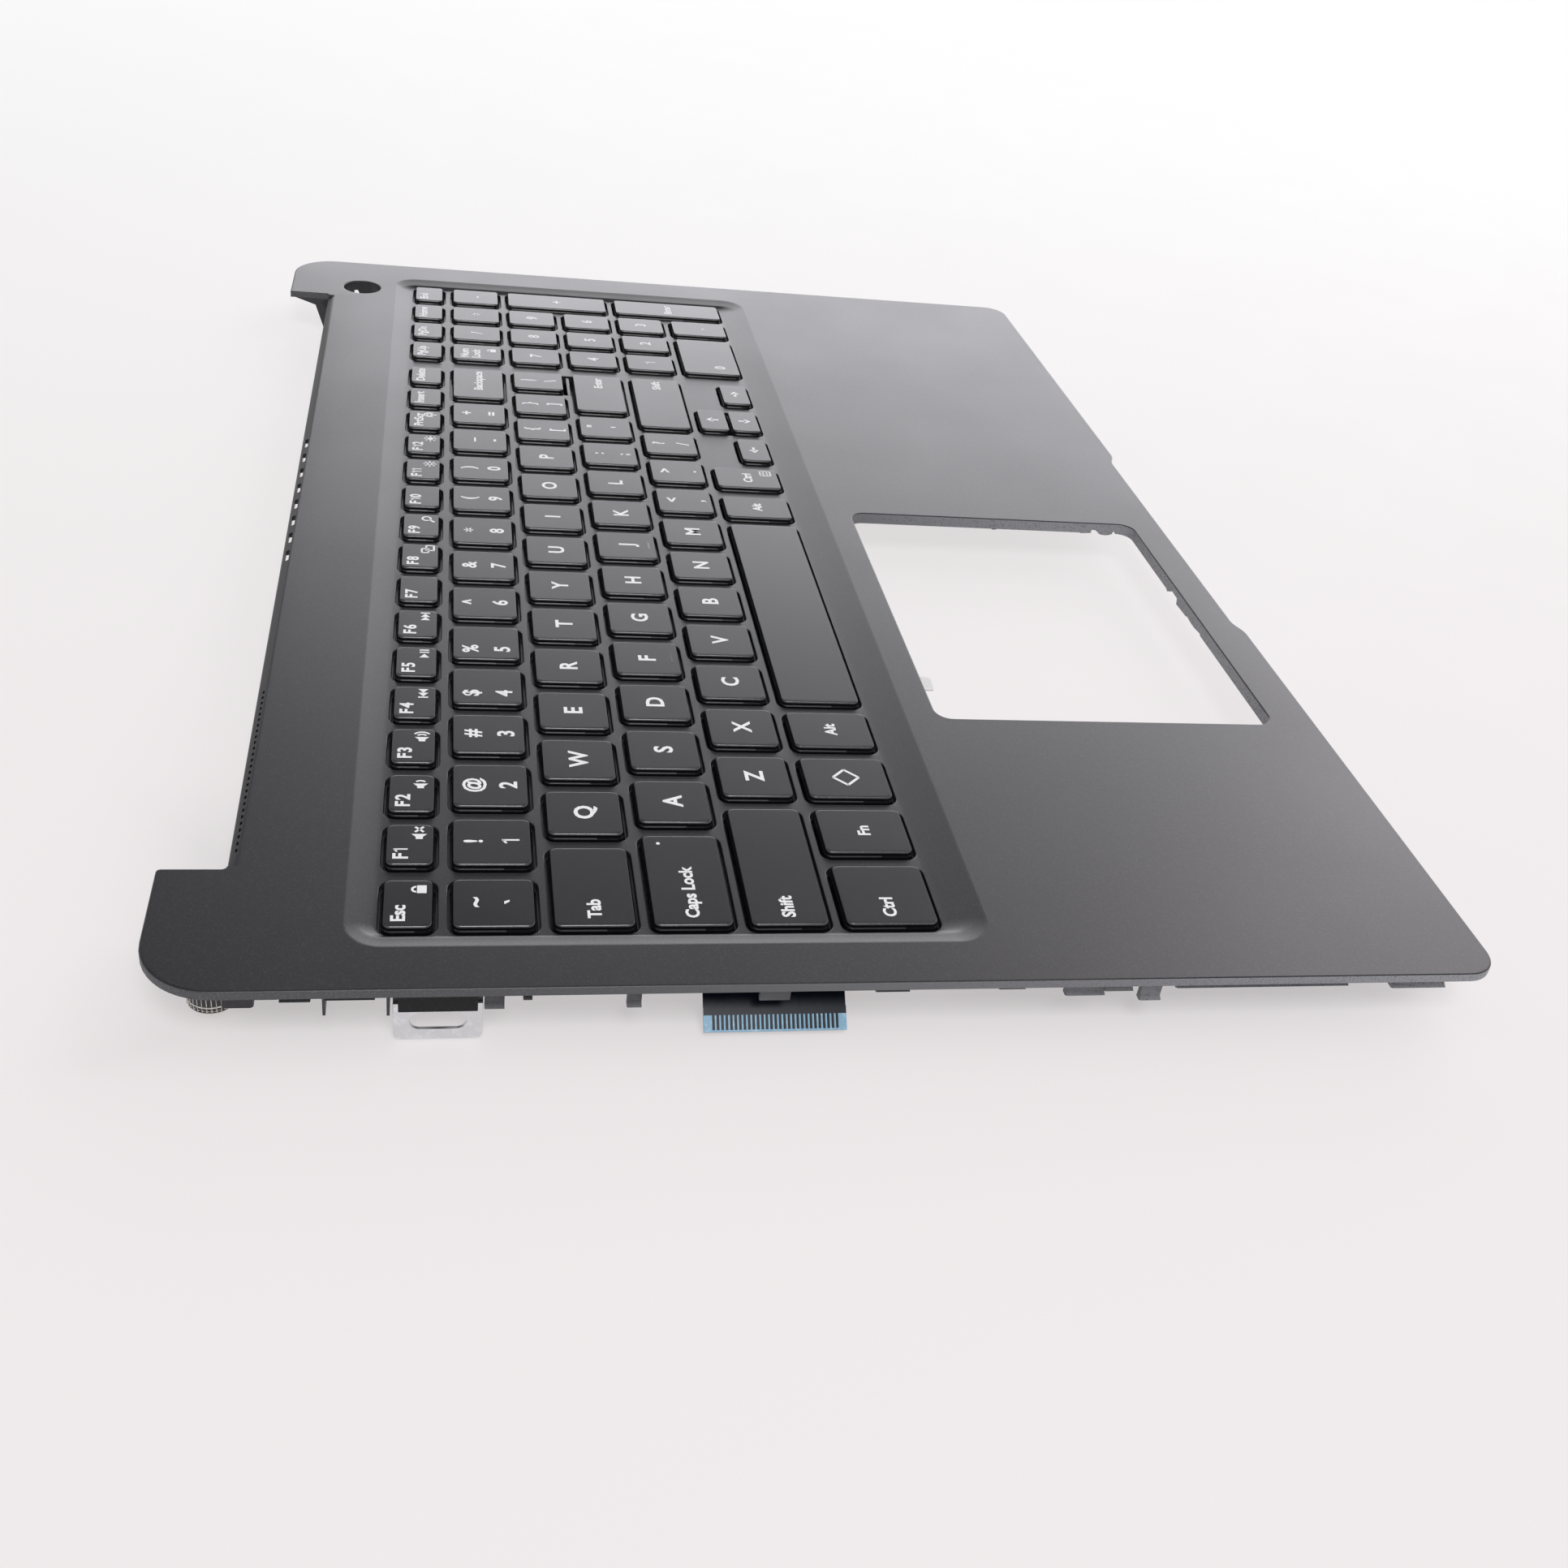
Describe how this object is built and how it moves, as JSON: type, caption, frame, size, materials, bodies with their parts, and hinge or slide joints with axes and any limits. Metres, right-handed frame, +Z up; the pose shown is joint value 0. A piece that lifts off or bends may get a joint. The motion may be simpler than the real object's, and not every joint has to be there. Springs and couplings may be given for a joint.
{
  "type": "laptop palm rest",
  "caption": "Moulded laptop top case with a chiclet keyboard and number pad in a bevelled recess, an open touch pad window, a power button hole, a hinge notch and a hanging keyboard ribbon.",
  "frame": {"origin": "centre of the part's footprint, on the surface that its screw posts stand on", "axes": "+X to the user's right, +Y to the hinge side, +Z up out of the key tops"},
  "size_m": [0.38, 0.258, 0.014],
  "materials": {
    "cover_plastic": "fine matte spark texture, charcoal",
    "key_plastic": "satin top, glossy skirt, near black",
    "membrane_film": "printed film",
    "plate_steel": "rolled",
    "dome_rubber": "silicone",
    "wire_steel": "drawn wire",
    "ribbon_film": "glossy printed film",
    "stiffener_film": "glossy blue film",
    "bracket_metal": "bright satin",
    "screw_metal": "black plated",
    "insert_brass": "turned",
    "tape": "matte white"
  },
  "bodies": {
    "palm_rest": {"palm_rest_cover": "cover_plastic", "membrane_sheet": "membrane_film", "support_plate": "plate_steel", "rubber_domes": "dome_rubber", "stabiliser_wires": "wire_steel", "keyboard_ribbon": "ribbon_film", "ribbon_stiffener": "stiffener_film", "port_bracket": "bracket_metal", "bracket_screw": "screw_metal", "screw_inserts": "insert_brass", "hinge_inserts": "insert_brass", "tape_tab": "tape", "function_row_keys": "key_plastic", "punctuation_keys": "key_plastic", "bottom_row_keys": "key_plastic", "number_pad_keys": "key_plastic"},
    "key_q": {"key_q": "key_plastic"},
    "key_w": {"key_w": "key_plastic"},
    "key_e": {"key_e": "key_plastic"},
    "key_r": {"key_r": "key_plastic"},
    "key_t": {"key_t": "key_plastic"},
    "key_y": {"key_y": "key_plastic"},
    "key_u": {"key_u": "key_plastic"},
    "key_i": {"key_i": "key_plastic"},
    "key_o": {"key_o": "key_plastic"},
    "key_p": {"key_p": "key_plastic"},
    "key_a": {"key_a": "key_plastic"},
    "key_s": {"key_s": "key_plastic"},
    "key_d": {"key_d": "key_plastic"},
    "key_f": {"key_f": "key_plastic"},
    "key_g": {"key_g": "key_plastic"},
    "key_h": {"key_h": "key_plastic"},
    "key_j": {"key_j": "key_plastic"},
    "key_k": {"key_k": "key_plastic"},
    "key_l": {"key_l": "key_plastic"},
    "key_z": {"key_z": "key_plastic"},
    "key_x": {"key_x": "key_plastic"},
    "key_c": {"key_c": "key_plastic"},
    "key_v": {"key_v": "key_plastic"},
    "key_b": {"key_b": "key_plastic"},
    "key_n": {"key_n": "key_plastic"},
    "key_m": {"key_m": "key_plastic"},
    "key_1": {"key_1": "key_plastic"},
    "key_2": {"key_2": "key_plastic"},
    "key_3": {"key_3": "key_plastic"},
    "key_4": {"key_4": "key_plastic"},
    "key_5": {"key_5": "key_plastic"},
    "key_6": {"key_6": "key_plastic"},
    "key_7": {"key_7": "key_plastic"},
    "key_8": {"key_8": "key_plastic"},
    "key_9": {"key_9": "key_plastic"},
    "key_0": {"key_0": "key_plastic"},
    "key_tab": {"key_tab": "key_plastic"},
    "key_caps_lock": {"key_caps_lock": "key_plastic"},
    "key_left_shift": {"key_left_shift": "key_plastic"},
    "key_right_shift": {"key_right_shift": "key_plastic"},
    "key_enter": {"key_enter": "key_plastic"},
    "key_backspace": {"key_backspace": "key_plastic"},
    "key_space_bar": {"key_space_bar": "key_plastic"}
  },
  "joints": [
    {"name": "key_q_press", "type": "slide", "parent": "palm_rest", "child": "key_q", "axis": [0, 0, -1], "range_m": [0, 0.0015], "stiffness_N_per_m": 400},
    {"name": "key_w_press", "type": "slide", "parent": "palm_rest", "child": "key_w", "axis": [0, 0, -1], "range_m": [0, 0.0015], "stiffness_N_per_m": 400},
    {"name": "key_e_press", "type": "slide", "parent": "palm_rest", "child": "key_e", "axis": [0, 0, -1], "range_m": [0, 0.0015], "stiffness_N_per_m": 400},
    {"name": "key_r_press", "type": "slide", "parent": "palm_rest", "child": "key_r", "axis": [0, 0, -1], "range_m": [0, 0.0015], "stiffness_N_per_m": 400},
    {"name": "key_t_press", "type": "slide", "parent": "palm_rest", "child": "key_t", "axis": [0, 0, -1], "range_m": [0, 0.0015], "stiffness_N_per_m": 400},
    {"name": "key_y_press", "type": "slide", "parent": "palm_rest", "child": "key_y", "axis": [0, 0, -1], "range_m": [0, 0.0015], "stiffness_N_per_m": 400},
    {"name": "key_u_press", "type": "slide", "parent": "palm_rest", "child": "key_u", "axis": [0, 0, -1], "range_m": [0, 0.0015], "stiffness_N_per_m": 400},
    {"name": "key_i_press", "type": "slide", "parent": "palm_rest", "child": "key_i", "axis": [0, 0, -1], "range_m": [0, 0.0015], "stiffness_N_per_m": 400},
    {"name": "key_o_press", "type": "slide", "parent": "palm_rest", "child": "key_o", "axis": [0, 0, -1], "range_m": [0, 0.0015], "stiffness_N_per_m": 400},
    {"name": "key_p_press", "type": "slide", "parent": "palm_rest", "child": "key_p", "axis": [0, 0, -1], "range_m": [0, 0.0015], "stiffness_N_per_m": 400},
    {"name": "key_a_press", "type": "slide", "parent": "palm_rest", "child": "key_a", "axis": [0, 0, -1], "range_m": [0, 0.0015], "stiffness_N_per_m": 400},
    {"name": "key_s_press", "type": "slide", "parent": "palm_rest", "child": "key_s", "axis": [0, 0, -1], "range_m": [0, 0.0015], "stiffness_N_per_m": 400},
    {"name": "key_d_press", "type": "slide", "parent": "palm_rest", "child": "key_d", "axis": [0, 0, -1], "range_m": [0, 0.0015], "stiffness_N_per_m": 400},
    {"name": "key_f_press", "type": "slide", "parent": "palm_rest", "child": "key_f", "axis": [0, 0, -1], "range_m": [0, 0.0015], "stiffness_N_per_m": 400},
    {"name": "key_g_press", "type": "slide", "parent": "palm_rest", "child": "key_g", "axis": [0, 0, -1], "range_m": [0, 0.0015], "stiffness_N_per_m": 400},
    {"name": "key_h_press", "type": "slide", "parent": "palm_rest", "child": "key_h", "axis": [0, 0, -1], "range_m": [0, 0.0015], "stiffness_N_per_m": 400},
    {"name": "key_j_press", "type": "slide", "parent": "palm_rest", "child": "key_j", "axis": [0, 0, -1], "range_m": [0, 0.0015], "stiffness_N_per_m": 400},
    {"name": "key_k_press", "type": "slide", "parent": "palm_rest", "child": "key_k", "axis": [0, 0, -1], "range_m": [0, 0.0015], "stiffness_N_per_m": 400},
    {"name": "key_l_press", "type": "slide", "parent": "palm_rest", "child": "key_l", "axis": [0, 0, -1], "range_m": [0, 0.0015], "stiffness_N_per_m": 400},
    {"name": "key_z_press", "type": "slide", "parent": "palm_rest", "child": "key_z", "axis": [0, 0, -1], "range_m": [0, 0.0015], "stiffness_N_per_m": 400},
    {"name": "key_x_press", "type": "slide", "parent": "palm_rest", "child": "key_x", "axis": [0, 0, -1], "range_m": [0, 0.0015], "stiffness_N_per_m": 400},
    {"name": "key_c_press", "type": "slide", "parent": "palm_rest", "child": "key_c", "axis": [0, 0, -1], "range_m": [0, 0.0015], "stiffness_N_per_m": 400},
    {"name": "key_v_press", "type": "slide", "parent": "palm_rest", "child": "key_v", "axis": [0, 0, -1], "range_m": [0, 0.0015], "stiffness_N_per_m": 400},
    {"name": "key_b_press", "type": "slide", "parent": "palm_rest", "child": "key_b", "axis": [0, 0, -1], "range_m": [0, 0.0015], "stiffness_N_per_m": 400},
    {"name": "key_n_press", "type": "slide", "parent": "palm_rest", "child": "key_n", "axis": [0, 0, -1], "range_m": [0, 0.0015], "stiffness_N_per_m": 400},
    {"name": "key_m_press", "type": "slide", "parent": "palm_rest", "child": "key_m", "axis": [0, 0, -1], "range_m": [0, 0.0015], "stiffness_N_per_m": 400},
    {"name": "key_1_press", "type": "slide", "parent": "palm_rest", "child": "key_1", "axis": [0, 0, -1], "range_m": [0, 0.0015], "stiffness_N_per_m": 400},
    {"name": "key_2_press", "type": "slide", "parent": "palm_rest", "child": "key_2", "axis": [0, 0, -1], "range_m": [0, 0.0015], "stiffness_N_per_m": 400},
    {"name": "key_3_press", "type": "slide", "parent": "palm_rest", "child": "key_3", "axis": [0, 0, -1], "range_m": [0, 0.0015], "stiffness_N_per_m": 400},
    {"name": "key_4_press", "type": "slide", "parent": "palm_rest", "child": "key_4", "axis": [0, 0, -1], "range_m": [0, 0.0015], "stiffness_N_per_m": 400},
    {"name": "key_5_press", "type": "slide", "parent": "palm_rest", "child": "key_5", "axis": [0, 0, -1], "range_m": [0, 0.0015], "stiffness_N_per_m": 400},
    {"name": "key_6_press", "type": "slide", "parent": "palm_rest", "child": "key_6", "axis": [0, 0, -1], "range_m": [0, 0.0015], "stiffness_N_per_m": 400},
    {"name": "key_7_press", "type": "slide", "parent": "palm_rest", "child": "key_7", "axis": [0, 0, -1], "range_m": [0, 0.0015], "stiffness_N_per_m": 400},
    {"name": "key_8_press", "type": "slide", "parent": "palm_rest", "child": "key_8", "axis": [0, 0, -1], "range_m": [0, 0.0015], "stiffness_N_per_m": 400},
    {"name": "key_9_press", "type": "slide", "parent": "palm_rest", "child": "key_9", "axis": [0, 0, -1], "range_m": [0, 0.0015], "stiffness_N_per_m": 400},
    {"name": "key_0_press", "type": "slide", "parent": "palm_rest", "child": "key_0", "axis": [0, 0, -1], "range_m": [0, 0.0015], "stiffness_N_per_m": 400},
    {"name": "key_tab_press", "type": "slide", "parent": "palm_rest", "child": "key_tab", "axis": [0, 0, -1], "range_m": [0, 0.0015], "stiffness_N_per_m": 400},
    {"name": "key_caps_lock_press", "type": "slide", "parent": "palm_rest", "child": "key_caps_lock", "axis": [0, 0, -1], "range_m": [0, 0.0015], "stiffness_N_per_m": 400},
    {"name": "key_left_shift_press", "type": "slide", "parent": "palm_rest", "child": "key_left_shift", "axis": [0, 0, -1], "range_m": [0, 0.0015], "stiffness_N_per_m": 400},
    {"name": "key_right_shift_press", "type": "slide", "parent": "palm_rest", "child": "key_right_shift", "axis": [0, 0, -1], "range_m": [0, 0.0015], "stiffness_N_per_m": 400},
    {"name": "key_enter_press", "type": "slide", "parent": "palm_rest", "child": "key_enter", "axis": [0, 0, -1], "range_m": [0, 0.0015], "stiffness_N_per_m": 400},
    {"name": "key_backspace_press", "type": "slide", "parent": "palm_rest", "child": "key_backspace", "axis": [0, 0, -1], "range_m": [0, 0.0015], "stiffness_N_per_m": 400},
    {"name": "key_space_bar_press", "type": "slide", "parent": "palm_rest", "child": "key_space_bar", "axis": [0, 0, -1], "range_m": [0, 0.0015], "stiffness_N_per_m": 400}
  ]
}
